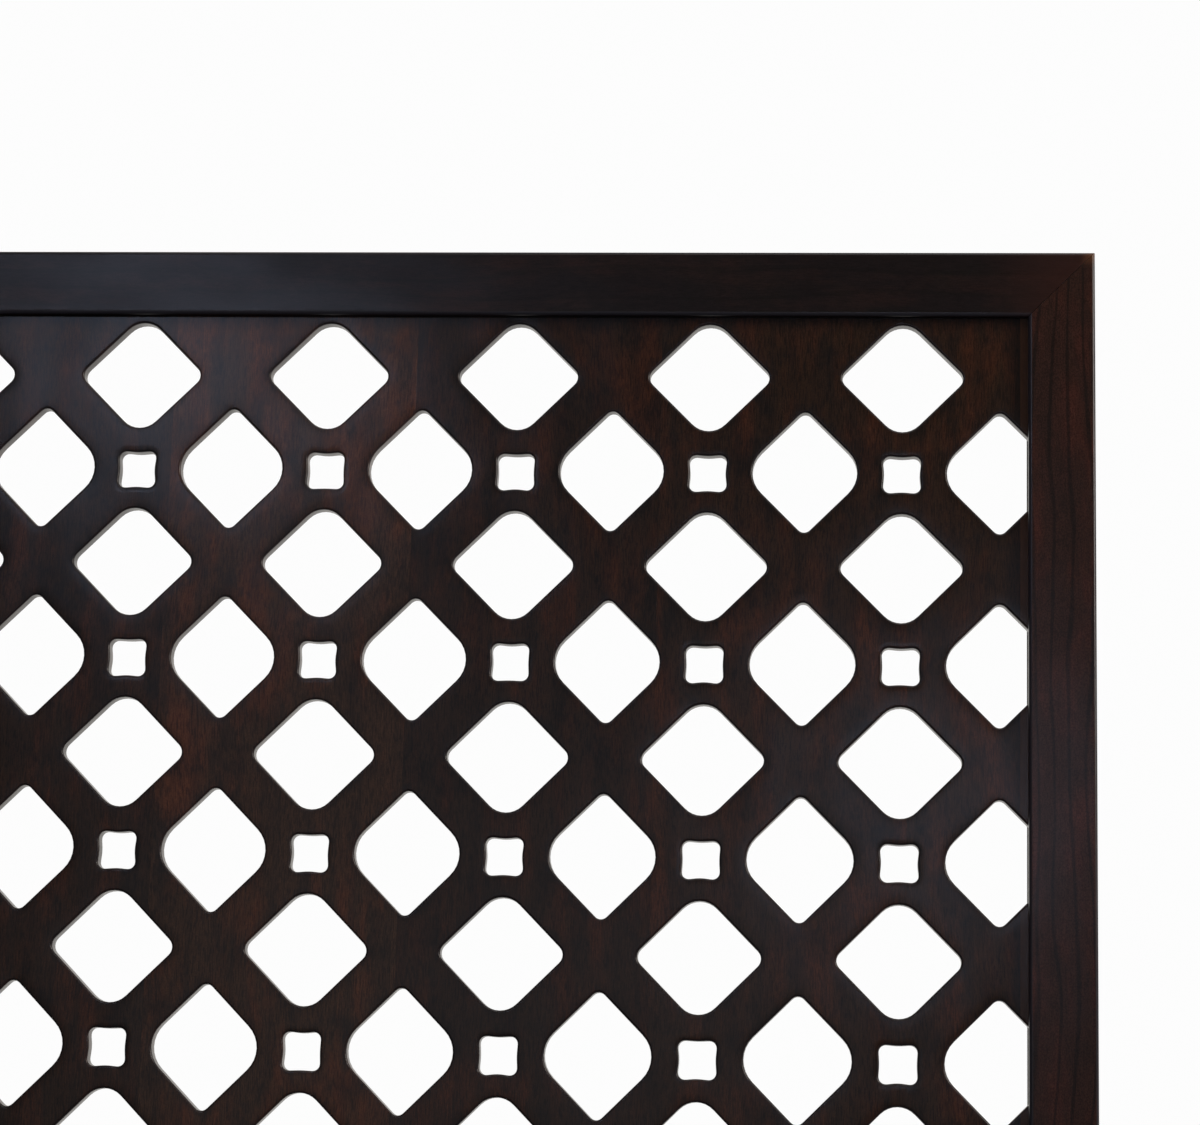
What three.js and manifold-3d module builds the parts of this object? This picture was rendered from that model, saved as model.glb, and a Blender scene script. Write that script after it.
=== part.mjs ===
// Mashrabiya screen: a flat mitred frame around one pierced wooden panel.
// Millimetres, +Z up, the front faces -Y. The origin is the centre of the top rail's back face.
import * as THREE from "three";
import { mergeVertices } from "three/addons/utils/BufferGeometryUtils.js";
import Module from "manifold-3d";

// The frame
const FRAME_FACE = 48; // width of a rail's or stile's face
const FRAME_DEPTH = 25; // front face to back face
const INNER_ROUNDING = 3; // front edge beside the panel
const OUTER_ROUNDING = 2.5; // front edge around the outside
const BACK_ROUNDING = 1.5; // both edges at the back
const GROOVE_DEPTH = 10; // how far the groove runs into a rail or stile
const CLEARANCE = 0.3; // play between pieces that meet

// The panel and the grid that its cut-outs stand on
const PANEL_THICKNESS = 12;
const PITCH = 140; // from one cut-out to the next of its kind, across and up
const COLUMNS = 6; // columns of wide diamonds, with a column of tall ones on each side of each
const ROWS = 8; // rows of wide diamonds, with a row of tall ones and of squares between two
const SIDE_MARGIN = 90; // from the centre of an outermost wide diamond to the stile
const END_MARGIN = 46.3; // from the centre of an outermost wide diamond to the rail
const DIAMOND_LIFT = 1.3; // the diamonds sit this much above the middle between the squares

// The cut-outs
const DIAMOND_SIDE = 66; // side of a diamond before its corners are rounded
const WIDE_TIP_RADIUS = 7.5; // left and right corners of a wide diamond
const WIDE_ROUND_RADIUS = 16.7; // its top and bottom corners
const TALL_TIP_RADIUS = 5.6; // top and bottom corners of a tall diamond
const TALL_ROUND_RADIUS = 21.4; // its left and right corners
const SQUARE_SIDE = 27;
const SQUARE_CORNER_RADIUS = 4.5;

// How many straight steps stand for a rounded corner
const TIP_STEPS = 2;
const ROUND_STEPS = 4;
const EDGE_STEPS = 3;

// Worked out from the above
const OPENING_WIDTH = (COLUMNS - 1) * PITCH + 2 * SIDE_MARGIN;
const OPENING_HEIGHT = (ROWS - 1) * PITCH + 2 * END_MARGIN;
const WIDTH = OPENING_WIDTH + 2 * FRAME_FACE;
const HEIGHT = OPENING_HEIGHT + 2 * FRAME_FACE;
const MIDDLE_Z = (FRAME_FACE - HEIGHT) / 2; // half way up the screen
const GROOVE_WIDTH = PANEL_THICKNESS + 2 * CLEARANCE;
const PANEL_LAP = GROOVE_DEPTH - 2 * CLEARANCE; // how far the panel reaches into the groove

const wasm = await Module();
wasm.setup();

// A corner of an outline, rounded by an arc of `radius` that takes `steps` straight steps.
function corner(x, y, radius = 0, steps = 0) {
  return { at: new THREE.Vector2(x, y), radius, steps };
}

// The points of a closed outline with rounded corners.
function outline(corners) {
  const points = [];
  corners.forEach(({ at, radius, steps }, index) => {
    if (radius === 0) {
      points.push(at);
      return;
    }
    const before = corners.at(index - 1).at.clone().sub(at).normalize();
    const after = corners[(index + 1) % corners.length].at.clone().sub(at).normalize();
    const halfAngle = Math.acos(before.dot(after)) / 2;
    const inwards = before.clone().add(after).normalize();
    const centre = at.clone().addScaledVector(inwards, radius / Math.sin(halfAngle));
    const start = at.clone().addScaledVector(before, radius / Math.tan(halfAngle)).sub(centre);
    const sweep = Math.sign(after.cross(before)) * (Math.PI - 2 * halfAngle);
    for (let step = 0; step <= steps; step += 1) {
      const spoke = start.clone().rotateAround(new THREE.Vector2(), (sweep * step) / steps);
      points.push(spoke.add(centre));
    }
  });
  return points;
}

// A square cut-out standing on one corner, with one radius on its side corners and one on its ends.
function diamond(x, y, sides, ends) {
  const reach = DIAMOND_SIDE / Math.SQRT2;
  return outline([
    corner(x + reach, y, sides.radius, sides.steps),
    corner(x, y + reach, ends.radius, ends.steps),
    corner(x - reach, y, sides.radius, sides.steps),
    corner(x, y - reach, ends.radius, ends.steps),
  ]);
}

function wideDiamond(x, y) {
  const tips = { radius: WIDE_TIP_RADIUS, steps: TIP_STEPS };
  const rounds = { radius: WIDE_ROUND_RADIUS, steps: ROUND_STEPS };
  return diamond(x, y, tips, rounds);
}

function tallDiamond(x, y) {
  const rounds = { radius: TALL_ROUND_RADIUS, steps: ROUND_STEPS };
  const tips = { radius: TALL_TIP_RADIUS, steps: TIP_STEPS };
  return diamond(x, y, rounds, tips);
}

function smallSquare(x, y) {
  const reach = SQUARE_SIDE / 2;
  const signs = [[1, -1], [1, 1], [-1, 1], [-1, -1]];
  return outline(signs.map(([across, up]) => (
    corner(x + across * reach, y + up * reach, SQUARE_CORNER_RADIUS, TIP_STEPS)
  )));
}

// Every cut-out's outline, around the middle of the panel.
function cutOuts() {
  const found = [];
  for (let row = 0; row < ROWS; row += 1) {
    const up = (row - (ROWS - 1) / 2) * PITCH;
    const between = up + PITCH / 2;
    const hasRowAbove = row < ROWS - 1;
    for (let column = 0; column < COLUMNS; column += 1) {
      const across = (column - (COLUMNS - 1) / 2) * PITCH;
      found.push(wideDiamond(across, up + DIAMOND_LIFT));
      if (hasRowAbove) {
        found.push(smallSquare(across, between));
      }
    }
    for (let column = 0; column <= COLUMNS && hasRowAbove; column += 1) {
      found.push(tallDiamond((column - COLUMNS / 2) * PITCH, between + DIAMOND_LIFT));
    }
  }
  return found;
}

// A flat piece of the given thickness, upright, its middle at the origin.
function upright(outlines, thickness) {
  const shapes = outlines.map((points) => new THREE.Shape(points));
  const geometry = new THREE.ExtrudeGeometry(shapes, { depth: thickness, bevelEnabled: false });
  geometry.translate(0, 0, -thickness / 2);
  geometry.rotateX(Math.PI / 2);
  return geometry;
}

// A three.js geometry as a solid that can be cut.
function solid(geometry) {
  geometry.deleteAttribute("normal");
  geometry.deleteAttribute("uv");
  const merged = mergeVertices(geometry);
  const vertProperties = new Float32Array(merged.attributes.position.array);
  const triVerts = new Uint32Array(merged.index.array);
  return new wasm.Manifold(new wasm.Mesh({ numProp: 3, vertProperties, triVerts }));
}

// A cut solid as a three.js geometry.
function geometryOf(manifold) {
  const mesh = manifold.getMesh();
  const geometry = new THREE.BufferGeometry();
  geometry.setAttribute("position", new THREE.BufferAttribute(mesh.vertProperties, 3));
  geometry.setIndex(new THREE.BufferAttribute(mesh.triVerts, 1));
  return geometry;
}

function finish(color, roughness) {
  return new THREE.MeshStandardMaterial({ color, roughness, metalness: 0 });
}

// The pierced panel: its outermost tall diamonds run out into the grooves of the stiles.
function latticePanel() {
  const reachX = OPENING_WIDTH / 2 + PANEL_LAP;
  const reachZ = OPENING_HEIGHT / 2 + PANEL_LAP;
  const board = outline([
    corner(reachX, -reachZ),
    corner(reachX, reachZ),
    corner(-reachX, reachZ),
    corner(-reachX, -reachZ),
  ]);
  const blank = solid(upright([board], PANEL_THICKNESS));
  const cutters = solid(upright(cutOuts(), 2 * PANEL_THICKNESS));
  const panel = new THREE.Mesh(geometryOf(blank.subtract(cutters)), finish(0x2b1d18, 0.4));
  panel.name = "lattice_panel";
  panel.position.set(0, -FRAME_DEPTH / 2, MIDDLE_Z);
  return panel;
}

// The section of a rail or stile: its depth along the first axis, and the second axis pointing out.
function memberSection() {
  const grooveFront = -(FRAME_DEPTH + GROOVE_WIDTH) / 2;
  const grooveBack = grooveFront + GROOVE_WIDTH;
  return new THREE.Shape(outline([
    corner(0, 0, BACK_ROUNDING, EDGE_STEPS),
    corner(-FRAME_DEPTH, 0, OUTER_ROUNDING, EDGE_STEPS),
    corner(-FRAME_DEPTH, -FRAME_FACE, INNER_ROUNDING, EDGE_STEPS),
    corner(grooveFront, -FRAME_FACE),
    corner(grooveFront, GROOVE_DEPTH - FRAME_FACE),
    corner(grooveBack, GROOVE_DEPTH - FRAME_FACE),
    corner(grooveBack, -FRAME_FACE),
    corner(0, -FRAME_FACE, BACK_ROUNDING, EDGE_STEPS),
  ]));
}

// A rail or stile, lying along X with its outer side up, mitred at both ends.
function frameMember(name, length) {
  const geometry = new THREE.ExtrudeGeometry(memberSection(), { depth: length, bevelEnabled: false });
  geometry.translate(0, 0, -length / 2);
  geometry.rotateX(Math.PI / 2);
  geometry.rotateZ(Math.PI / 2);
  const relief = CLEARANCE / Math.SQRT2;
  const { position } = geometry.attributes;
  for (let index = 0; index < position.count; index += 1) {
    const inwards = -position.getZ(index);
    const halfHere = length / 2 - inwards - relief;
    position.setX(index, Math.sign(position.getX(index)) * halfHere);
  }
  geometry.deleteAttribute("normal");
  geometry.computeVertexNormals();
  const member = new THREE.Mesh(geometry, finish(0x2e2019, 0.38));
  member.name = name;
  return member;
}

function frameMembers() {
  const topRail = frameMember("top_rail", WIDTH);
  topRail.position.set(0, 0, FRAME_FACE / 2);
  const bottomRail = frameMember("bottom_rail", WIDTH);
  bottomRail.position.set(0, 0, FRAME_FACE / 2 - HEIGHT);
  bottomRail.rotation.y = Math.PI;
  const rightStile = frameMember("right_stile", HEIGHT);
  rightStile.position.set(WIDTH / 2, 0, MIDDLE_Z);
  rightStile.rotation.y = Math.PI / 2;
  const leftStile = frameMember("left_stile", HEIGHT);
  leftStile.position.set(-WIDTH / 2, 0, MIDDLE_Z);
  leftStile.rotation.y = -Math.PI / 2;
  return [topRail, bottomRail, leftStile, rightStile];
}

const screen = new THREE.Group();
screen.add(latticePanel(), ...frameMembers());

export default screen;
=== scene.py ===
# The looks of a mashrabiya screen: a pierced wooden panel in a mitred frame, stained and lacquered.
import math
import random
from typing import NamedTuple

import bmesh
import bpy
from bpy.props import FloatProperty, FloatVectorProperty, IntProperty, PointerProperty
from mathutils import Matrix, Vector


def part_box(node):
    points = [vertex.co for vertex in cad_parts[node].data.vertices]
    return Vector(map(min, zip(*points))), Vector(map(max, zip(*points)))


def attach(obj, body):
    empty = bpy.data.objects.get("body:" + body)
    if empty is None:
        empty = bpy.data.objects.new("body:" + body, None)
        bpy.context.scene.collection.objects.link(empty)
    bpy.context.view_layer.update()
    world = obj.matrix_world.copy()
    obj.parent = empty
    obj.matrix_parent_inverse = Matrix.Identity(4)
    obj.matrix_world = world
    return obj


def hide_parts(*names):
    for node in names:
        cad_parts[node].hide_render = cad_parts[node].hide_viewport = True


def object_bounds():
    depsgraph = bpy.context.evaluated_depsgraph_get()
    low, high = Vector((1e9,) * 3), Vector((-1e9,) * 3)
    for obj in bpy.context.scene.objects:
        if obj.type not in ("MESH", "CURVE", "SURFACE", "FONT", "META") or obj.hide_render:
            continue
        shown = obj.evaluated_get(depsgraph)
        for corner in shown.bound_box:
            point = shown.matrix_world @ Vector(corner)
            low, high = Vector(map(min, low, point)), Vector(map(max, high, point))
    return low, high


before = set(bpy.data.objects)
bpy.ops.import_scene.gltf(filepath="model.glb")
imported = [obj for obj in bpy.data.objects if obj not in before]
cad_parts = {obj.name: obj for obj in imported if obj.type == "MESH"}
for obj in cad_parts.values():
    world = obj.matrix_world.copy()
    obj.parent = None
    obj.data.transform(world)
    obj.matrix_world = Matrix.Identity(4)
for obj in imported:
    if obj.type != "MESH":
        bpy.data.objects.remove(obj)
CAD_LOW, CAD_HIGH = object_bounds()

bl_info = {
    "name": "Mashrabiya Screen",
    "version": (1, 0, 0),
    "blender": (4, 5, 0),
    "location": "3D View > Sidebar > Screen",
    "description": "Builds a pierced wooden panel in a mitred frame, with its finish and its studio",
    "category": "Add Mesh",
}

MM = 0.001
TINY = 1e-6
UPRIGHT = Matrix.Rotation(math.radians(90), 4, "X")  # turns a flat shape to stand, facing -Y
SHARP_ANGLE = math.radians(35)  # two faces that meet at more than this keep a crisp edge

SQUARE_DRAWS = 5  # how many different small squares were sawn
BOW_RANGE = (0.5, 1.4)  # least and most bow of a side, as shares of the usual one
BOW_CUTS = 7  # points along a bowed side of a small square
EDGE_STEPS = 6  # straight steps around a rounded edge of the frame

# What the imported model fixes
PANEL_LOW, PANEL_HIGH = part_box("lattice_panel")
RAIL_LOW, RAIL_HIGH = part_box("top_rail")
FRAME_FACE = RAIL_HIGH[2] - RAIL_LOW[2]
FRAME_DEPTH = CAD_HIGH.y - CAD_LOW.y
SCREEN_WIDTH = CAD_HIGH.x - CAD_LOW.x
SCREEN_HEIGHT = CAD_HIGH.z - CAD_LOW.z
SCREEN_MIDDLE = (CAD_LOW + CAD_HIGH) / 2
OPENING_WIDTH = SCREEN_WIDTH - 2 * FRAME_FACE
OPENING_HEIGHT = SCREEN_HEIGHT - 2 * FRAME_FACE
PANEL_THICKNESS = PANEL_HIGH[1] - PANEL_LOW[1]
PANEL_HALF_WIDTH = (PANEL_HIGH[0] - PANEL_LOW[0]) / 2
PANEL_HALF_HEIGHT = (PANEL_HIGH[2] - PANEL_LOW[2]) / 2


# ---------------------------------------------------------------- settings

def linear(hex_colour):
    """An sRGB colour such as "#3A241C" as the linear colour that a shader takes."""
    channels = [int(hex_colour[at:at + 2], 16) / 255 for at in (1, 3, 5)]
    return (*(c / 12.92 if c <= 0.04045 else ((c + 0.055) / 1.055) ** 2.4 for c in channels), 1.0)


class ScreenPanelSettings(bpy.types.PropertyGroup):
    columns: IntProperty(
        name="Columns", description="Columns of wide diamonds", default=6, min=1)
    rows: IntProperty(
        name="Rows", description="Rows of wide diamonds", default=8, min=2)
    side_margin: FloatProperty(
        name="Side margin", description="From an outermost wide diamond's centre to the stile",
        default=90 * MM, subtype="DISTANCE", unit="LENGTH")
    end_margin: FloatProperty(
        name="End margin", description="From an outermost wide diamond's centre to the rail",
        default=46.3 * MM, subtype="DISTANCE", unit="LENGTH")
    diamond_lift: FloatProperty(
        name="Diamond lift", description="How far the diamonds sit above the middle between the squares",
        default=1.3 * MM, subtype="DISTANCE", unit="LENGTH")
    diamond_side: FloatProperty(
        name="Diamond side", description="Side of a diamond before its corners are rounded",
        default=66 * MM, subtype="DISTANCE", unit="LENGTH")
    wide_tip_radius: FloatProperty(
        name="Wide diamond tips", description="Radius of a wide diamond's left and right corners",
        default=7.5 * MM, subtype="DISTANCE", unit="LENGTH")
    wide_round_radius: FloatProperty(
        name="Wide diamond rounds", description="Radius of a wide diamond's top and bottom corners",
        default=16.7 * MM, subtype="DISTANCE", unit="LENGTH")
    tall_tip_radius: FloatProperty(
        name="Tall diamond tips", description="Radius of a tall diamond's top and bottom corners",
        default=5.6 * MM, subtype="DISTANCE", unit="LENGTH")
    tall_round_radius: FloatProperty(
        name="Tall diamond rounds", description="Radius of a tall diamond's left and right corners",
        default=21.4 * MM, subtype="DISTANCE", unit="LENGTH")
    square_side: FloatProperty(
        name="Square side", description="Side of a small square at its corners",
        default=27 * MM, subtype="DISTANCE", unit="LENGTH")
    square_radius: FloatProperty(
        name="Square corners", description="Radius of a small square's corners",
        default=5 * MM, subtype="DISTANCE", unit="LENGTH")
    square_bow: FloatProperty(
        name="Square bow", description="How far the middle of a small square's side bows inwards",
        default=0.55 * MM, subtype="DISTANCE", unit="LENGTH")
    mouth_rounding: FloatProperty(
        name="Mouth rounding", description="Radius of the sanded edge around every cut-out",
        default=1.8 * MM, subtype="DISTANCE", unit="LENGTH")


class ScreenFrameSettings(bpy.types.PropertyGroup):
    inner_rounding: FloatProperty(
        name="Inner rounding", description="Radius of the front edge beside the panel",
        default=3 * MM, subtype="DISTANCE", unit="LENGTH")
    outer_rounding: FloatProperty(
        name="Outer rounding", description="Radius of the front edge around the outside",
        default=2.5 * MM, subtype="DISTANCE", unit="LENGTH")
    back_rounding: FloatProperty(
        name="Back rounding", description="Radius of the edges at the back",
        default=1.5 * MM, subtype="DISTANCE", unit="LENGTH")
    groove_depth: FloatProperty(
        name="Groove depth", description="How far the panel's groove runs into the frame",
        default=10 * MM, subtype="DISTANCE", unit="LENGTH")
    clearance: FloatProperty(
        name="Clearance", description="Play between pieces that meet",
        default=0.3 * MM, subtype="DISTANCE", unit="LENGTH")


class ScreenFinishSettings(bpy.types.PropertyGroup):
    board_width: FloatProperty(
        name="Board width", description="Width of the boards that the panel is glued up from",
        default=180 * MM, subtype="DISTANCE", unit="LENGTH")
    first_joint: FloatProperty(
        name="Board joint", description="Where one joint between two boards lies across the screen",
        default=-5 * MM, subtype="DISTANCE", unit="LENGTH")
    board_draw: IntProperty(
        name="Board draw", description="Draws another set of lighter and darker boards",
        default=2611, min=0)
    panel_brown: FloatVectorProperty(
        name="Panel brown", description="Usual colour of the panel's stained wood",
        default=linear("#402A1A"), size=4, min=0.0, max=1.0, subtype="COLOR")
    panel_red: FloatVectorProperty(
        name="Panel red", description="Colour where the panel took less stain",
        default=linear("#5D331D"), size=4, min=0.0, max=1.0, subtype="COLOR")
    rail_brown: FloatVectorProperty(
        name="Rail brown", description="Usual colour of the rails",
        default=linear("#241A1A"), size=4, min=0.0, max=1.0, subtype="COLOR")
    rail_red: FloatVectorProperty(
        name="Rail red", description="Colour where the rails took less stain",
        default=linear("#35221E"), size=4, min=0.0, max=1.0, subtype="COLOR")
    stile_brown: FloatVectorProperty(
        name="Stile brown", description="Usual colour of the stiles",
        default=linear("#402820"), size=4, min=0.0, max=1.0, subtype="COLOR")
    stile_red: FloatVectorProperty(
        name="Stile red", description="Colour where the stiles took less stain",
        default=linear("#572F25"), size=4, min=0.0, max=1.0, subtype="COLOR")
    stain_black: FloatVectorProperty(
        name="Stain black", description="Colour where the stain gathered",
        default=linear("#14110E"), size=4, min=0.0, max=1.0, subtype="COLOR")
    # Painted reflection: this bluish grey on the rounded edges stands in for the dim room reflected in
    # them.
    edge_reflection_grey: FloatVectorProperty(
        name="Edge grey", description="Colour of the rounded edges, where the lacquer dries thick",
        default=linear("#454550"), size=4, min=0.0, max=1.0, subtype="COLOR")
    bare_wood: FloatVectorProperty(
        name="Bare wood", description="Colour where the finish is thin or rubbed through",
        default=linear("#8A5A3C"), size=4, min=0.0, max=1.0, subtype="COLOR")
    lacquer_gloss: FloatProperty(
        name="Lacquer roughness", description="Roughness of the lacquer: lower is shinier",
        default=0.25, min=0.0, max=1.0, subtype="FACTOR")


class ScreenStageSettings(bpy.types.PropertyGroup):
    lens: FloatProperty(
        name="Lens", description="Focal length on a 36 mm wide sensor",
        default=92.4, subtype="DISTANCE_CAMERA")
    camera_at: FloatVectorProperty(
        name="Camera at", description="Where the camera stands",
        default=(0.3167, -2.1975, -0.6151), subtype="XYZ", unit="LENGTH")
    camera_aim: FloatVectorProperty(
        name="Camera aim", description="The point on the panel at the middle of the picture",
        default=(0.1333, -0.0185, -0.2069), subtype="XYZ", unit="LENGTH")
    camera_roll: FloatProperty(
        name="Camera roll", description="How far the camera leans over to its left",
        default=math.radians(1.43), subtype="ANGLE")
    floor_size: FloatProperty(
        name="Floor size", description="Length and width of the floor",
        default=30, subtype="DISTANCE", unit="LENGTH")


# ---------------------------------------------------------------- shared helpers

def node(tree, kind, settings=None, inputs=None):
    """Adds a node with its settings; an input is a value, or a socket to link."""
    made = tree.nodes.new(kind)
    for name, value in (settings or {}).items():
        setattr(made, name, value)
    for key, value in (inputs or {}).items():
        if isinstance(value, bpy.types.NodeSocket):
            tree.links.new(value, made.inputs[key])
        else:
            made.inputs[key].default_value = value
    return made


def empty_material(name):
    """Makes a material that has no nodes yet."""
    material = bpy.data.materials.new(name)
    material.use_nodes = True
    material.node_tree.nodes.clear()
    return material


def round_corners(bm, corners, radius, steps):
    """Rounds corners of a flat shape and gives the points of their arcs."""
    return bmesh.ops.bevel(
        bm, geom=corners, offset=radius, offset_type="OFFSET", affect="VERTICES",
        segments=steps, profile=0.5, material=-1)["verts"]


def cut_off(bm, place, outwards):
    """Cuts away what lies outwards of a place and closes the cut."""
    cut = bmesh.ops.bisect_plane(
        bm, geom=bm.verts[:] + bm.edges[:] + bm.faces[:], dist=TINY, clear_outer=True,
        plane_co=place, plane_no=outwards)
    edges = [item for item in cut["geom_cut"] if isinstance(item, bmesh.types.BMEdge)]
    bmesh.ops.holes_fill(bm, edges=edges, sides=0)


def finish_piece(bm, name, material):
    """Makes the object of a finished bmesh, which stands for the CAD node of the same name."""
    mesh = bpy.data.meshes.new(name)
    bmesh.ops.recalc_face_normals(bm, faces=bm.faces[:])
    for face in bm.faces:
        face.smooth = True
    for edge in bm.edges:
        edge.smooth = edge.calc_face_angle(0.0) < SHARP_ANGLE
    bm.to_mesh(mesh)
    bm.free()
    mesh.materials.append(material)
    piece = bpy.data.objects.new(f"{name}_finished", mesh)
    bpy.context.collection.objects.link(piece)
    shading = piece.modifiers.new("Flat faces shade flat", "WEIGHTED_NORMAL")
    shading.keep_sharp = True
    shading.weight = 100
    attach(piece, "root")
    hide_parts(name)


# ---------------------------------------------------------------- the pierced panel

def diamond(bm, side, side_radius, end_radius, steps):
    """A square face standing on one corner, with its corners rounded."""
    bmesh.ops.create_circle(
        bm, cap_ends=True, segments=4, radius=side / math.sqrt(2), matrix=UPRIGHT)
    sides = [v for v in bm.verts if abs(v.co.x) > abs(v.co.z)]
    ends = [v for v in bm.verts if abs(v.co.x) < abs(v.co.z)]
    round_corners(bm, sides, side_radius, steps)
    round_corners(bm, ends, end_radius, steps)
    return bm.faces[:][0]


def bowed_square(bm, side, radius, bows, steps):
    """A square face with rounded corners, each of whose sides bows inwards by its own amount."""
    turned = UPRIGHT @ Matrix.Rotation(math.radians(45), 4, "Z")
    bmesh.ops.create_circle(
        bm, cap_ends=True, segments=4, radius=side / math.sqrt(2), matrix=turned)
    round_corners(bm, bm.verts[:], radius, steps)
    bmesh.ops.delete(bm, geom=bm.faces[:], context="FACES_ONLY")
    straight = side / 2 - radius
    sides = [e for e in bm.edges if e.calc_length() > straight]
    bmesh.ops.subdivide_edges(bm, edges=sides, cuts=BOW_CUTS)
    left, right, lower, upper = bows
    for vert in bm.verts:
        across, up = vert.co.x / straight, vert.co.z / straight
        if abs(up) < 1:
            vert.co.x -= math.copysign((right if across > 0 else left) * (1 - up * up) ** 2, across)
        elif abs(across) < 1:
            vert.co.z -= math.copysign((upper if up > 0 else lower) * (1 - across * across) ** 2, up)
    face = bmesh.ops.contextual_create(bm, geom=bm.edges[:])["faces"][0]
    face.normal_update()
    if face.normal.y > 0:
        face.normal_flip()
    return face


def pierced_mouth(outline, halo_width, rounding, depth, steps):
    """A mesh of the flat halo, the rounded mouth and the wall of a cut-out, half the panel deep.

    Two attributes go with it: "halo" rises from 0 to 1 across the flat ring around the mouth, and
    "edge" from 0 at both sides of the rounding to 1 in its middle.
    """
    bm = bmesh.new()
    halo = bm.verts.layers.float.new("halo")
    edge = bm.verts.layers.float.new("edge")
    face = outline(bm)
    bmesh.ops.translate(bm, verts=bm.verts[:], vec=(0, -depth, 0))
    bmesh.ops.inset_individual(bm, faces=[face], use_even_offset=True, thickness=halo_width)
    for vert in face.verts:
        vert[halo] = 1.0
    for step in range(steps):
        before, after = (math.radians(90) * (step + more) / steps for more in (0, 1))
        bmesh.ops.inset_individual(
            bm, faces=[face], use_even_offset=True,
            thickness=rounding * (math.sin(after) - math.sin(before)),
            depth=-rounding * (math.cos(before) - math.cos(after)))
        for vert in face.verts:
            vert[edge] = math.sin(2 * after)
    wall = bmesh.ops.extrude_discrete_faces(bm, faces=[face])["faces"][0]
    for vert in wall.verts:
        vert[edge] = 0.0
    bmesh.ops.translate(bm, verts=wall.verts[:], vec=(0, depth - rounding, 0))
    bmesh.ops.delete(bm, geom=[wall], context="FACES_ONLY")
    mesh = bpy.data.meshes.new("mouth")
    bm.to_mesh(mesh)
    bm.free()
    return mesh


def stamp(bm, mouth, across, up):
    """Adds a cut-out's mouth at a place on the panel."""
    known = len(bm.verts)
    bm.from_mesh(mouth)
    bm.verts.ensure_lookup_table()
    bmesh.ops.translate(bm, verts=bm.verts[known:], vec=(across, 0, up))


def stamp_cut_outs(bm, panel):
    """Adds the mouths of every cut-out, around the panel's middle."""
    rounding = panel.mouth_rounding
    half_depth = PANEL_THICKNESS / 2
    arc_steps, rim_steps = ((8, 5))
    wide_halo = 7 * MM  # a halo is the flat ring around a mouth, and no two may meet
    narrow_halo = 3.5 * MM

    def diamond_mouth(side_radius, end_radius):
        grown = wide_halo + rounding
        return pierced_mouth(
            lambda bm: diamond(bm, panel.diamond_side + 2 * grown, side_radius + grown,
                               end_radius + grown, arc_steps),
            wide_halo, rounding, half_depth, rim_steps)

    def square_mouth(bows):
        grown = narrow_halo + rounding
        return pierced_mouth(
            lambda bm: bowed_square(bm, panel.square_side + 2 * grown,
                                    panel.square_radius + grown, bows, arc_steps),
            narrow_halo, rounding, half_depth, rim_steps)

    wide = diamond_mouth(panel.wide_tip_radius, panel.wide_round_radius)
    tall = diamond_mouth(panel.tall_round_radius, panel.tall_tip_radius)
    by_hand = random.Random(3)  # the same small differences every time
    squares = [
        square_mouth([panel.square_bow * by_hand.uniform(*BOW_RANGE) for _side in range(4)])
        for _draw in range(SQUARE_DRAWS)
    ]
    pitch_across = (OPENING_WIDTH - 2 * panel.side_margin) / (panel.columns - 1)
    pitch_up = (OPENING_HEIGHT - 2 * panel.end_margin) / (panel.rows - 1)
    for row in range(panel.rows):
        up = (row - (panel.rows - 1) / 2) * pitch_up
        between = up + pitch_up / 2
        has_row_above = row < panel.rows - 1
        for column in range(panel.columns):
            across = (column - (panel.columns - 1) / 2) * pitch_across
            stamp(bm, wide, across, up + panel.diamond_lift)
            if has_row_above:
                stamp(bm, by_hand.choice(squares), across, between)
        for column in range(panel.columns + 1) if has_row_above else ():
            across = (column - panel.columns / 2) * pitch_across
            stamp(bm, tall, across, between + panel.diamond_lift)
    for mouth in (wide, tall, *squares):
        bpy.data.meshes.remove(mouth)


def lattice_panel_bmesh(panel):
    """The pierced panel: half its thickness is built, then mirrored."""
    bm = bmesh.new()
    bm.verts.layers.float.new("halo")
    bm.verts.layers.float.new("edge")
    half_depth = PANEL_THICKNESS / 2
    spare = 50 * MM  # the blank is wider than the panel, so that every cut-out lies inside it
    bmesh.ops.create_grid(bm, x_segments=1, y_segments=1, size=1, matrix=UPRIGHT)
    bmesh.ops.scale(bm, verts=bm.verts[:], vec=(PANEL_HALF_WIDTH + spare, 1, PANEL_HALF_HEIGHT))
    bmesh.ops.translate(bm, verts=bm.verts[:], vec=(0, -half_depth, 0))
    blank = bm.faces[:][0]
    rim = bmesh.ops.extrude_edge_only(bm, edges=bm.edges[:])
    far = [item for item in rim["geom"] if isinstance(item, bmesh.types.BMVert)]
    bmesh.ops.translate(bm, verts=far, vec=(0, half_depth, 0))
    bmesh.ops.delete(bm, geom=[blank], context="FACES_ONLY")
    stamp_cut_outs(bm, panel)
    front_edges = [
        e for e in bm.edges
        if e.is_boundary and all(v.co.y < TINY - half_depth for v in e.verts)
    ]
    bmesh.ops.triangle_fill(bm, use_beauty=True, edges=front_edges, normal=(0, -1, 0))
    bmesh.ops.mirror(
        bm, geom=bm.verts[:] + bm.edges[:] + bm.faces[:], merge_dist=TINY, axis="Y")
    bmesh.ops.remove_doubles(bm, verts=bm.verts[:], dist=TINY)
    for sign in (-1, 1):
        cut_off(bm, (sign * PANEL_HALF_WIDTH, 0, 0), (sign, 0, 0))
    middle_y = (PANEL_LOW[1] + PANEL_HIGH[1]) / 2
    bmesh.ops.translate(bm, verts=bm.verts[:], vec=(0, middle_y, SCREEN_MIDDLE.z))
    return bm


# ---------------------------------------------------------------- rails and stiles

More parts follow.
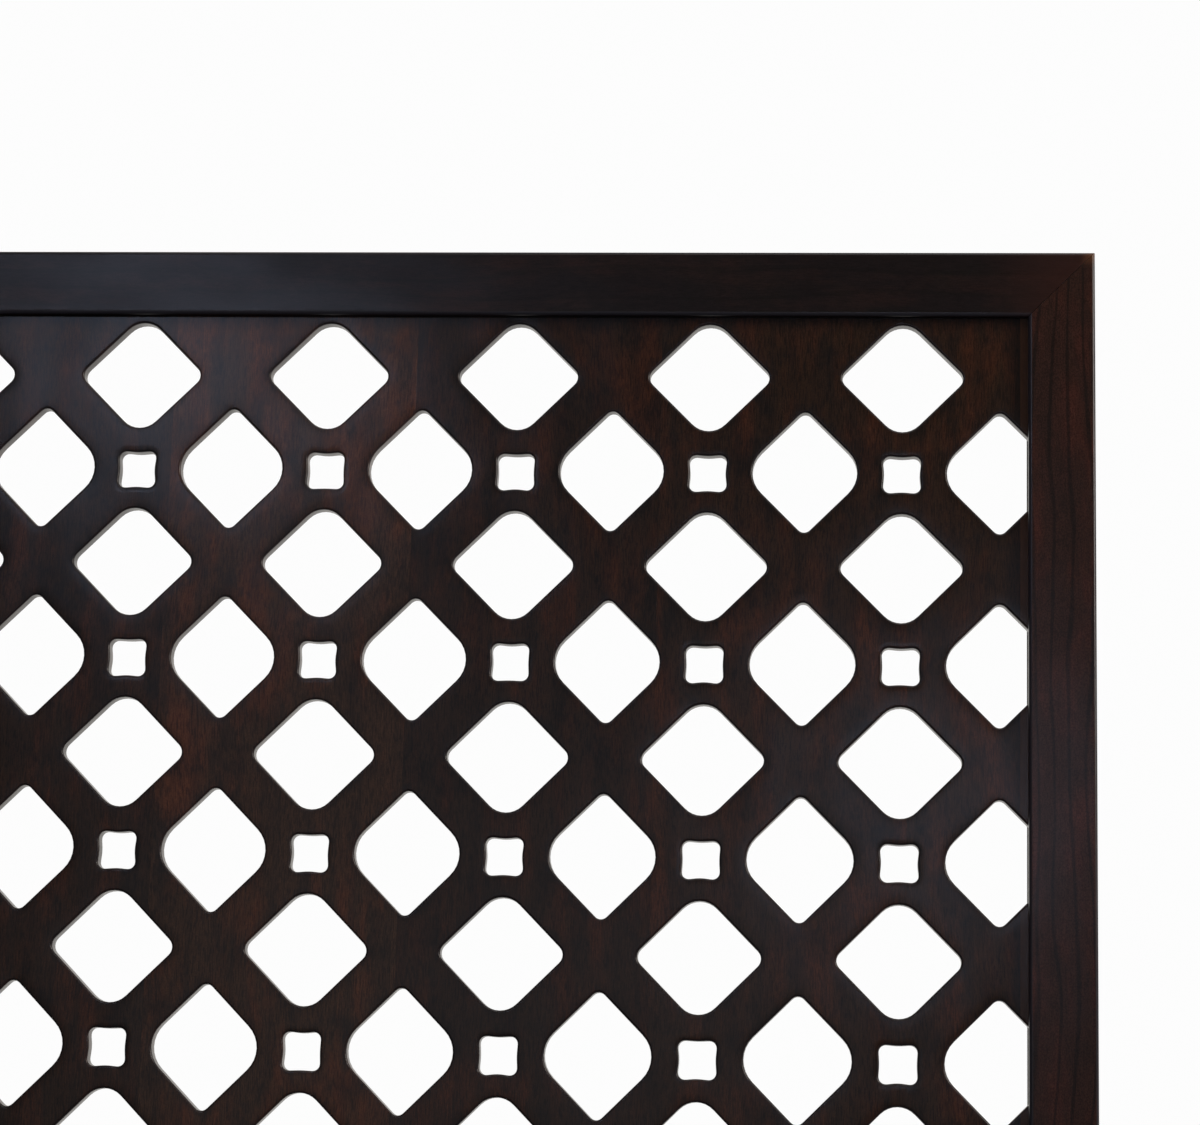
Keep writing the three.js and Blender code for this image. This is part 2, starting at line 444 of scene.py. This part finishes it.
def member_section(bm, sizes):
    """The section of a rail or stile as one face: the front towards -Y, the outer side up."""
    edge = bm.verts.layers.float["edge"]
    groove_front = PANEL_LOW[1] - sizes.clearance
    groove_back = PANEL_HIGH[1] + sizes.clearance
    groove_end = sizes.groove_depth - FRAME_FACE
    front, inner = -FRAME_DEPTH, -FRAME_FACE
    outline = [bm.verts.new((0, y, z)) for y, z in (
        (0, 0), (front, 0), (front, inner), (groove_front, inner),
        (groove_front, groove_end), (groove_back, groove_end), (groove_back, inner), (0, inner),
    )]
    bm.faces.new(outline)
    rounded = (
        (outline[0], sizes.back_rounding), (outline[1], sizes.outer_rounding),
        (outline[2], sizes.inner_rounding), (outline[7], sizes.back_rounding),
    )
    for corner, radius in rounded:
        place = corner.co.copy()
        # The attribute is 0 at both sides of the rounding, and 1 in its middle, nearest to the corner.
        for vert in round_corners(bm, [corner], radius, EDGE_STEPS):
            vert[edge] = (radius - (vert.co - place).length) / (radius * (2 - math.sqrt(2)))


def frame_member_bmesh(length, turn, place, sizes):
    """A rail or stile: its section drawn out along X, mitred at both ends and put in its place."""
    bm = bmesh.new()
    bm.verts.layers.float.new("edge")
    member_section(bm, sizes)
    bmesh.ops.translate(bm, verts=bm.verts[:], vec=(-length / 2, 0, 0))
    drawn = bmesh.ops.extrude_face_region(bm, geom=bm.faces[:])
    moved = [item for item in drawn["geom"] if isinstance(item, bmesh.types.BMVert)]
    bmesh.ops.translate(bm, verts=moved, vec=(length, 0, 0))
    relief = sizes.clearance / math.sqrt(2)  # half the play at a mitre, measured along the member
    for sign in (-1, 1):
        cut_off(bm, (sign * (length / 2 - relief), 0, 0), (sign, 0, -1))
    bmesh.ops.transform(bm, verts=bm.verts[:], matrix=Matrix.Translation(place) @ turn)
    return bm


# ---------------------------------------------------------------- finishes

class Grain(NamedTuple):
    """How one cut of the wood shows under the stain."""
    line_strength: float  # how dark the growth lines are
    line_gap: float  # from one growth line to the next
    line_start: float  # where on its wave a line begins: the nearer to 1, the thinner
    line_drift: float  # the length over which the lines wander
    clouding: float  # how dark the clouds in the stain are
    pore_tone: float  # brightness of a pore beside the wood around it
    fibre_contrast: float
    speckle_contrast: float


PANEL_GRAIN = Grain(
    line_strength=0.2, line_gap=21 * MM, line_start=0.3, line_drift=600 * MM,
    clouding=0.6, pore_tone=0.5, fibre_contrast=0.22, speckle_contrast=0.18)
RAIL_GRAIN = Grain(
    line_strength=0.35, line_gap=16 * MM, line_start=0.6, line_drift=400 * MM,
    clouding=0.45, pore_tone=0.75, fibre_contrast=0.12, speckle_contrast=0.12)
STILE_GRAIN = Grain(
    line_strength=0.6, line_gap=13 * MM, line_start=0.7, line_drift=240 * MM,
    clouding=0.35, pore_tone=0.8, fibre_contrast=0.1, speckle_contrast=0.34)


def grain_noise(tree, grain, across, along, detail=2.0, roughness=0.5):
    """A cloudy pattern, whose marks are usually this wide across the grain and this long along it."""
    drawn_out = node(tree, "ShaderNodeMapping", inputs={
        "Vector": grain, "Scale": (1 / across, 1 / across, 1 / along)})
    noise = node(tree, "ShaderNodeTexNoise", inputs={
        "Vector": drawn_out.outputs[0], "Scale": 1.0, "Detail": detail, "Roughness": roughness})
    return noise.outputs["Fac"]


def wiped_over(tree, under, colour, pattern, start, full, strength=1.0):
    """Lays a colour over another where a pattern rises from a start to full."""
    cover = node(tree, "ShaderNodeMapRange", {"interpolation_type": "SMOOTHSTEP"}, {
        "Value": pattern, "From Min": start, "From Max": full, "To Max": strength})
    # This node has sockets for each kind of value: 6, 7 and its output 2 are the ones for colours.
    return node(tree, "ShaderNodeMix", {"data_type": "RGBA"}, {
        0: cover.outputs[0], 6: under, 7: colour}).outputs[2]


def shaded(tree, colour, pattern, start, full, at_start, at_full):
    """Makes a colour lighter or darker along with a pattern."""
    strength = node(tree, "ShaderNodeMapRange", {"interpolation_type": "SMOOTHSTEP"}, {
        "Value": pattern, "From Min": start, "From Max": full, "To Min": at_start, "To Max": at_full})
    return node(tree, "ShaderNodeVectorMath", {"operation": "SCALE"}, {
        0: colour, "Scale": strength.outputs[0]}).outputs[0]


def outside_of(tree, place, half_width, half_height):
    """How far a place lies outside a rectangle around the screen's middle, to each side and up."""
    centred = node(tree, "ShaderNodeVectorMath", {"operation": "SUBTRACT"}, {
        0: place, 1: tuple(SCREEN_MIDDLE)}).outputs[0]
    mirrored = node(tree, "ShaderNodeVectorMath", {"operation": "ABSOLUTE"}, {0: centred}).outputs[0]
    beyond = node(tree, "ShaderNodeVectorMath", {"operation": "SUBTRACT"}, {
        0: mirrored, 1: (half_width, 0.0, half_height)}).outputs[0]
    return node(tree, "ShaderNodeSeparateXYZ", inputs={0: beyond}).outputs


def drawn_board(tree, place, finish):
    """A number and a colour drawn at random for each board of the panel, counted from the left."""
    across = node(tree, "ShaderNodeSeparateXYZ", inputs={0: place}).outputs["X"]
    from_joint = node(tree, "ShaderNodeMath", {"operation": "SUBTRACT"}, {
        0: across, 1: finish.first_joint}).outputs[0]
    boards = node(tree, "ShaderNodeMath", {"operation": "DIVIDE"}, {
        0: from_joint, 1: finish.board_width}).outputs[0]
    whole = node(tree, "ShaderNodeMath", {"operation": "FLOOR"}, {0: boards}).outputs[0]
    number = node(tree, "ShaderNodeMath", {"operation": "ADD"}, {
        0: whole, 1: float(finish.board_draw)}).outputs[0]
    return node(tree, "ShaderNodeTexWhiteNoise", {"noise_dimensions": "1D"}, {"W": number}).outputs


def wandering(tree, grain):
    """Lets the grain wander a few millimetres to the side along its length."""
    across, along = 90 * MM, 260 * MM  # usual width and length of a bend
    sway = 22 * MM  # the most that a bend could move the grain
    stretched = node(tree, "ShaderNodeMapping", inputs={
        "Vector": grain, "Scale": (1 / across, 1 / across, 1 / along)}).outputs[0]
    drift = node(tree, "ShaderNodeTexNoise", inputs={
        "Vector": stretched, "Scale": 1.0, "Detail": 1.0}).outputs["Color"]
    return node(tree, "ShaderNodeVectorMath", {"operation": "MULTIPLY_ADD"}, {
        0: drift, 1: (sway, sway, 0.0), 2: grain}).outputs[0]


def stained_colour(tree, grain, brown, red, black, cut):
    """The colour of the stained wood, and the clouds and the pores in it."""
    reddened = grain_noise(tree, grain, across=24 * MM, along=90 * MM, detail=3.0, roughness=0.6)
    colour = wiped_over(tree, tuple(brown), tuple(red), reddened, start=0.42, full=0.68)
    # Dark lines of the yearly growth, which wander along the piece
    wander = 16.0  # how far, in radians: one gap between two lines is 2 * pi
    rings = grain_noise(tree, grain, across=50 * MM, along=cut.line_drift)
    across = node(tree, "ShaderNodeSeparateXYZ", inputs={0: grain}).outputs["X"]
    turns = node(tree, "ShaderNodeMath", {"operation": "MULTIPLY"}, {
        0: across, 1: 2 * math.pi / cut.line_gap}).outputs[0]
    waves = node(tree, "ShaderNodeMath", {"operation": "MULTIPLY_ADD"}, {
        0: rings, 1: wander, 2: turns}).outputs[0]
    lines = node(tree, "ShaderNodeMath", {"operation": "SINE"}, {0: waves}).outputs[0]
    colour = wiped_over(
        tree, colour, black, lines, start=cut.line_start, full=1.0, strength=cut.line_strength)
    # Clouds where the stain dried darker
    clouds = grain_noise(tree, grain, across=22 * MM, along=34 * MM, detail=4.0, roughness=0.6)
    colour = wiped_over(tree, colour, black, clouds, start=0.46, full=0.72, strength=cut.clouding)
    # Pores, fibres and specks: the real ones are about 0.2 mm wide, and are drawn coarser to show.
    pores = grain_noise(tree, grain, across=0.7 * MM, along=8 * MM, detail=1.0)
    colour = shaded(tree, colour, pores, start=0.5, full=0.6, at_start=1.0, at_full=cut.pore_tone)
    fibres = grain_noise(tree, grain, across=0.7 * MM, along=16 * MM, roughness=0.7)
    colour = shaded(tree, colour, fibres, start=0.3, full=0.7,
                    at_start=1 - cut.fibre_contrast, at_full=1 + cut.fibre_contrast)
    specks = grain_noise(tree, grain, across=0.9 * MM, along=1.2 * MM, detail=1.0)
    colour = shaded(tree, colour, specks, start=0.3, full=0.7,
                    at_start=1 - cut.speckle_contrast, at_full=1 + cut.speckle_contrast)
    return colour, clouds, pores


def painted_edge_reflection(tree, colour, finish, strength):
    """Greys the rounded edges with a painted bluish-grey reflection of the dim room."""
    edge = node(tree, "ShaderNodeAttribute", {"attribute_name": "edge"}).outputs["Fac"]
    return wiped_over(
        tree, colour, tuple(finish.edge_reflection_grey), edge, start=0.0, full=0.8, strength=strength)


def swelling(tree, grain):
    """A surface that swells a little between strokes of the sander."""
    swell = grain_noise(tree, grain, across=55 * MM, along=120 * MM, detail=1.0)
    return node(tree, "ShaderNodeBump", inputs={
        "Strength": 1.0, "Distance": 1.1 * MM, "Height": swell}).outputs[0]


def lacquer(tree, colour, surface, clouds, pores, finish):
    """Finishes a material: satin lacquer over the colour, thin enough to sink into the pores.

    The wood below it is a little rougher where the stain dried darker.
    """
    rough = node(tree, "ShaderNodeMapRange", inputs={
        "Value": clouds, "From Min": 0.3, "From Max": 0.7, "To Min": 0.34, "To Max": 0.46}).outputs[0]
    pitted = node(tree, "ShaderNodeBump", {"invert": True}, {
        "Strength": 0.5, "Distance": 0.08 * MM, "Height": pores, "Normal": surface}).outputs[0]
    shader = node(tree, "ShaderNodeBsdfPrincipled", inputs={
        "Base Color": colour, "Roughness": rough, "IOR": 1.5, "Normal": pitted,
        "Specular IOR Level": 0.15, "Coat Weight": 0.8, "Coat Roughness": finish.lacquer_gloss,
        "Coat IOR": 1.5, "Coat Normal": surface})
    node(tree, "ShaderNodeOutputMaterial", inputs={"Surface": shader.outputs[0]})


def panel_wood(finish, shift):
    """Upright boards of an open-grained hardwood, wiped with dark walnut stain and lacquered.

    The boards differ in tone. The stain leaves a cloudy red-brown ground, and is darker in the pores
    and around the cut-outs. Painted shade darkens the strips along the frame, standing in for the
    frame's shadow on the panel, and a line of paler wood stays beside the stiles. The rounded mouths
    carry a painted grey reflection, and the satin lacquer gives a soft sheen that waves a little with
    the sanding.
    """
    material = empty_material("Stained hardwood boards, satin lacquer")
    tree = material.node_tree
    black = tuple(finish.stain_black)
    place = node(tree, "ShaderNodeTexCoord").outputs["Object"]
    board = drawn_board(tree, place, finish)
    shifted = node(tree, "ShaderNodeMapping", inputs={
        "Vector": place, "Location": shift}).outputs[0]
    log = (0.9, 0.5, 3.0)  # the boards are sawn from anywhere within this much wood
    sawn = node(tree, "ShaderNodeVectorMath", {"operation": "MULTIPLY_ADD"}, {
        0: board["Color"], 1: log, 2: shifted}).outputs[0]
    grain = wandering(tree, sawn)
    colour, clouds, pores = stained_colour(
        tree, grain, finish.panel_brown, finish.panel_red, black, PANEL_GRAIN)
    colour = shaded(tree, colour, board["Value"], start=0.0, full=1.0, at_start=0.7, at_full=1.55)

    halo = node(tree, "ShaderNodeAttribute", {"attribute_name": "halo"}).outputs["Fac"]
    gathered = node(tree, "ShaderNodeMath", {"operation": "MULTIPLY"}, {0: halo, 1: clouds}).outputs[0]
    colour = wiped_over(tree, colour, black, gathered, start=0.1, full=0.75, strength=0.5)

    # Painted shade: the strips along the stiles and rails are darkened as the frame's shadow on the
    # panel.
    shade_by_stile, shade_by_rail = 22 * MM, 14 * MM  # widths of the darker strips along the frame
    darkest = 16 * MM  # how far into the strip by a stile it is darkest; the pale line follows
    near = outside_of(tree, place, OPENING_WIDTH / 2 - shade_by_stile, OPENING_HEIGHT / 2 - shade_by_rail)
    colour = shaded(tree, colour, near["X"], start=0.0, full=darkest, at_start=1.0, at_full=0.5)
    colour = shaded(tree, colour, near["Z"], start=0.0, full=shade_by_rail, at_start=1.0, at_full=0.45)
    colour = wiped_over(tree, colour, tuple(finish.bare_wood), near["X"],
                        start=darkest, full=darkest + 1 * MM, strength=0.32)
    # Painted reflection: the rounded mouths of the cut-outs are greyed as if they reflected the dim
    # room.
    colour = painted_edge_reflection(tree, colour, finish, strength=0.4)

    # Sanding rounds the face off a little on its way to each cut-out.
    fall = node(tree, "ShaderNodeMath", {"operation": "POWER"}, {0: halo, 1: 2.0}).outputs[0]
    surface = node(tree, "ShaderNodeBump", {"invert": True}, {
        "Strength": 1.0, "Distance": 0.09 * MM, "Height": fall,
        "Normal": swelling(tree, grain)}).outputs[0]
    lacquer(tree, colour, surface, clouds, pores, finish)
    return material


def frame_wood(name, is_rail, finish, shift):
    """One solid length of the same hardwood, with its own stain and the same lacquer.

    A rail is almost black, and a stile dark red-brown with clear growth lines. Both carry a painted
    grey reflection along the rounded edges, and are rubbed through to warm bare wood at the frame's
    outer corners.
    """
    if is_rail:
        brown, red, cut = finish.rail_brown, finish.rail_red, RAIL_GRAIN
        turn = (0, math.radians(-90), 0)  # lays the grain along the rail
    else:
        brown, red, cut = finish.stile_brown, finish.stile_red, STILE_GRAIN
        turn = (0, 0, 0)
    material = empty_material(name)
    tree = material.node_tree
    place = node(tree, "ShaderNodeTexCoord").outputs["Object"]
    shifted = node(tree, "ShaderNodeMapping", inputs={
        "Vector": place, "Location": shift, "Rotation": turn}).outputs[0]
    grain = wandering(tree, shifted)
    colour, clouds, pores = stained_colour(tree, grain, brown, red, tuple(finish.stain_black), cut)
    # Painted reflection: the rounded edges of the rail or stile are greyed as if they reflected the dim
    # room.
    colour = painted_edge_reflection(tree, colour, finish, strength=0.8)

    corner = 9 * MM  # size of the rubbed corners
    beyond = outside_of(tree, place, SCREEN_WIDTH / 2 - corner, SCREEN_HEIGHT / 2 - corner)
    if is_rail:  # its ends took less of the black
        colour = wiped_over(tree, colour, tuple(finish.stile_red), beyond["X"],
                            start=-80 * MM, full=-10 * MM, strength=0.35)
    least = node(tree, "ShaderNodeMath", {"operation": "MINIMUM"}, {
        0: beyond["X"], 1: beyond["Z"]}).outputs[0]
    colour = wiped_over(
        tree, colour, tuple(finish.bare_wood), least, start=-3 * MM, full=corner, strength=0.8)
    lacquer(tree, colour, swelling(tree, grain), clouds, pores, finish)
    return material


# ---------------------------------------------------------------- studio

def add_camera(scene, stage):
    """Adds the camera, leaning over by its roll, and looks through it."""
    camera = bpy.data.cameras.new("Camera")
    camera.lens = stage.lens
    camera.sensor_width = 36.0
    camera.clip_start = 0.05
    camera.clip_end = 100.0
    eye = bpy.data.objects.new("Camera", camera)
    aim = Vector(stage.camera_aim) - Vector(stage.camera_at)
    looking = aim.to_track_quat("-Z", "Y").to_matrix().to_4x4()
    roll = Matrix.Rotation(stage.camera_roll, 4, "Z")
    eye.matrix_world = Matrix.Translation(stage.camera_at) @ looking @ roll
    scene.collection.objects.link(eye)
    scene.camera = eye


def floor_paint():
    """Matt white paint, which glows more and more from half a metre to nine metres away.

    So the floor stays pale and runs out into the backdrop without an edge.
    """
    paint = empty_material("Matt white studio floor")
    tree = paint.node_tree
    place = node(tree, "ShaderNodeTexCoord").outputs["Object"]
    away = node(tree, "ShaderNodeVectorMath", {"operation": "LENGTH"}, {0: place}).outputs["Value"]
    glow = node(tree, "ShaderNodeMapRange", {"interpolation_type": "SMOOTHSTEP"}, {
        "Value": away, "From Min": 0.5, "From Max": 9.0, "To Min": 0.5, "To Max": 0.95})
    shader = node(tree, "ShaderNodeBsdfPrincipled", inputs={
        "Base Color": linear("#E9E7E4"), "Roughness": 0.9,
        "Emission Color": linear("#F6F5F3"), "Emission Strength": glow.outputs[0]})
    node(tree, "ShaderNodeOutputMaterial", inputs={"Surface": shader.outputs[0]})
    return paint


def add_floor(scene, stage):
    """Adds the floor just under the screen."""
    bm = bmesh.new()
    bmesh.ops.create_grid(bm, x_segments=1, y_segments=1, size=stage.floor_size / 2)
    bmesh.ops.translate(bm, verts=bm.verts[:], vec=(0, 0, CAD_LOW.z - 1 * MM))
    mesh = bpy.data.meshes.new("floor")
    bm.to_mesh(mesh)
    bm.free()
    mesh.materials.append(floor_paint())
    floor = bpy.data.objects.new("floor", mesh)
    floor.visible_diffuse = False  # it throws no light up under the rails
    floor.visible_glossy = False  # and doesn't show in the lacquer
    scene.collection.objects.link(floor)


def add_room(scene):
    """Adds a white backdrop and, for reflections, a dim room that is bright behind the screen."""
    world = bpy.data.worlds.new("Studio")
    scene.world = world
    world.use_nodes = True
    tree = world.node_tree
    tree.nodes.clear()
    direction = node(tree, "ShaderNodeTexCoord").outputs["Generated"]
    behind = node(tree, "ShaderNodeSeparateXYZ", inputs={0: direction}).outputs["Y"]
    glow = node(tree, "ShaderNodeMapRange", {"interpolation_type": "SMOOTHSTEP"}, {
        "Value": behind, "From Min": 0.1, "From Max": 0.9, "To Min": 0.02, "To Max": 0.9})
    room = node(tree, "ShaderNodeBackground", inputs={
        "Color": linear("#F2EFEA"), "Strength": glow.outputs[0]}).outputs[0]
    backdrop = node(tree, "ShaderNodeBackground", inputs={
        "Color": linear("#FFFFFF"), "Strength": 0.98}).outputs[0]
    straight = node(tree, "ShaderNodeLightPath").outputs["Is Camera Ray"]
    either = node(tree, "ShaderNodeMixShader", inputs={
        0: straight, 1: room, 2: backdrop}).outputs[0]
    node(tree, "ShaderNodeOutputWorld", inputs={"Surface": either})


def add_soft_light(scene, name, at, aim, size, radiance, colour):
    """Adds a rectangular light that looks equally bright from everywhere in front of it."""
    width, height = size
    light = bpy.data.lights.new(name, "AREA")
    light.shape = "RECTANGLE"
    light.size = width
    light.size_y = height
    light.energy = radiance * width * height * math.pi
    light.color = linear(colour)[:3]
    lamp = bpy.data.objects.new(name, light)
    lamp.location = at
    lamp.rotation_euler = (Vector(aim) - Vector(at)).to_track_quat("-Z", "Y").to_euler()
    lamp.visible_camera = False
    scene.collection.objects.link(lamp)


def add_lights(scene):
    """Adds the cool lights that the lacquer reflects, then the warm ones that light the wood."""
    add_soft_light(scene, "upper left softbox", at=(-0.785, -2.6, 0.585), aim=(-0.2, 0, -0.1),
                   size=(0.55, 0.14), radiance=8.1, colour="#D4E0FF")
    add_soft_light(scene, "window by the camera", at=(0.46, -2.7, -0.1), aim=(0.4, 0, -0.4),
                   size=(0.3, 0.2), radiance=4.5, colour="#D6E2FF")
    add_soft_light(scene, "card behind the camera", at=(-0.42, -3.2, -0.28), aim=(0, 0, -0.5),
                   size=(1.54, 0.88), radiance=0.25, colour="#EEF2FF")
    add_soft_light(scene, "low card", at=(-0.42, -3.25, -0.58), aim=(0, 0, -0.5),
                   size=(1.54, 0.56), radiance=0.2, colour="#EEF2FF")
    add_soft_light(scene, "right softbox", at=(2.3, -1.25, 0.5), aim=(0.1, 0, -0.4),
                   size=(1.1, 1.1), radiance=6.0, colour="#FFF3E6")
    add_soft_light(scene, "overhead softbox", at=(0.4, -1.5, 1.9), aim=(0, 0, -0.4),
                   size=(2.4, 1.2), radiance=1.0, colour="#FFF6EA")


# ---------------------------------------------------------------- operators

class MASHRABIYA_OT_stage(bpy.types.Operator):
    """Set up the camera, the floor, the backdrop and the soft studio light"""
    bl_idname = "mashrabiya.stage"
    bl_label = "Studio"

    def execute(self, context):
        scene = context.scene
        scene.view_settings.view_transform = "Standard"
        scene.view_settings.look = "None"
        add_camera(scene, scene.screen_stage)
        add_floor(scene, scene.screen_stage)
        add_room(scene)
        add_lights(scene)
        return {"FINISHED"}


class MASHRABIYA_OT_lattice_panel(bpy.types.Operator):
    """Build the pierced panel, glued up from upright boards"""
    bl_idname = "mashrabiya.lattice_panel"
    bl_label = "Lattice panel"

    def execute(self, context):
        bm = lattice_panel_bmesh(context.scene.screen_panel)
        wood = panel_wood(context.scene.screen_finish, shift=(0.5, 3.3, 3.5))
        finish_piece(bm, "lattice_panel", wood)
        return {"FINISHED"}


class MASHRABIYA_OT_frame_members(bpy.types.Operator):
    """Build the two rails and the two stiles of the mitred frame"""
    bl_idname = "mashrabiya.frame_members"
    bl_label = "Rails and stiles"

    def execute(self, context):
        finish = context.scene.screen_finish
        half_width = SCREEN_WIDTH / 2
        middle_z = SCREEN_MIDDLE.z
        # Each member's turn and place, and a shift that gives it its own part of the log
        members = (
            ("top_rail", 0, (0, 0, CAD_HIGH.z), (0.4, 2.0, 3.8)),
            ("right_stile", 90, (half_width, 0, middle_z), (1.3, 0.7, 1.4)),
            ("bottom_rail", 180, (0, 0, CAD_LOW.z), (2.3, 0.9, 1.4)),
            ("left_stile", 270, (-half_width, 0, middle_z), (3.7, 1.6, 2.1)),
        )
        for name, degrees, place, shift in members:
            is_rail = name.endswith("rail")
            length = SCREEN_WIDTH if is_rail else SCREEN_HEIGHT
            turn = Matrix.Rotation(math.radians(degrees), 4, "Y")
            bm = frame_member_bmesh(length, turn, place, context.scene.screen_frame)
            title = f"Stained hardwood, satin lacquer, {name.replace('_', ' ')}"
            wood = frame_wood(title, is_rail, finish, shift)
            finish_piece(bm, name, wood)
        return {"FINISHED"}


class MASHRABIYA_PT_sidebar(bpy.types.Panel):
    """Builds the screen piece by piece"""
    bl_label = "Mashrabiya Screen"
    bl_idname = "MASHRABIYA_PT_sidebar"
    bl_space_type = "VIEW_3D"
    bl_region_type = "UI"
    bl_category = "Screen"

    def draw(self, context):
        for operator, groups in SIDEBAR:
            box = self.layout.box()
            for group in groups:
                settings = getattr(context.scene, group)
                for name in settings.bl_rna.properties.keys():
                    if name not in ("rna_type", "name"):
                        box.prop(settings, name)
            box.operator(operator)


SIDEBAR = (
    ("mashrabiya.stage", ("screen_stage",)),
    ("mashrabiya.lattice_panel", ("screen_panel", "screen_finish")),
    ("mashrabiya.frame_members", ("screen_frame",)),
)
SETTINGS = {
    "screen_panel": ScreenPanelSettings,
    "screen_frame": ScreenFrameSettings,
    "screen_finish": ScreenFinishSettings,
    "screen_stage": ScreenStageSettings,
}
OPERATORS = (MASHRABIYA_OT_stage, MASHRABIYA_OT_lattice_panel, MASHRABIYA_OT_frame_members)


def register():
    for cls in (*SETTINGS.values(), *OPERATORS, MASHRABIYA_PT_sidebar):
        bpy.utils.register_class(cls)
    for name, cls in SETTINGS.items():
        setattr(bpy.types.Scene, name, PointerProperty(type=cls))


def unregister():
    for name in SETTINGS:
        delattr(bpy.types.Scene, name)
    for cls in (MASHRABIYA_PT_sidebar, *reversed(OPERATORS), *SETTINGS.values()):
        bpy.utils.unregister_class(cls)


def main():
    register()
    bpy.ops.mashrabiya.stage()
    bpy.ops.mashrabiya.lattice_panel()
    bpy.ops.mashrabiya.frame_members()


if __name__ == "__main__":
    main()
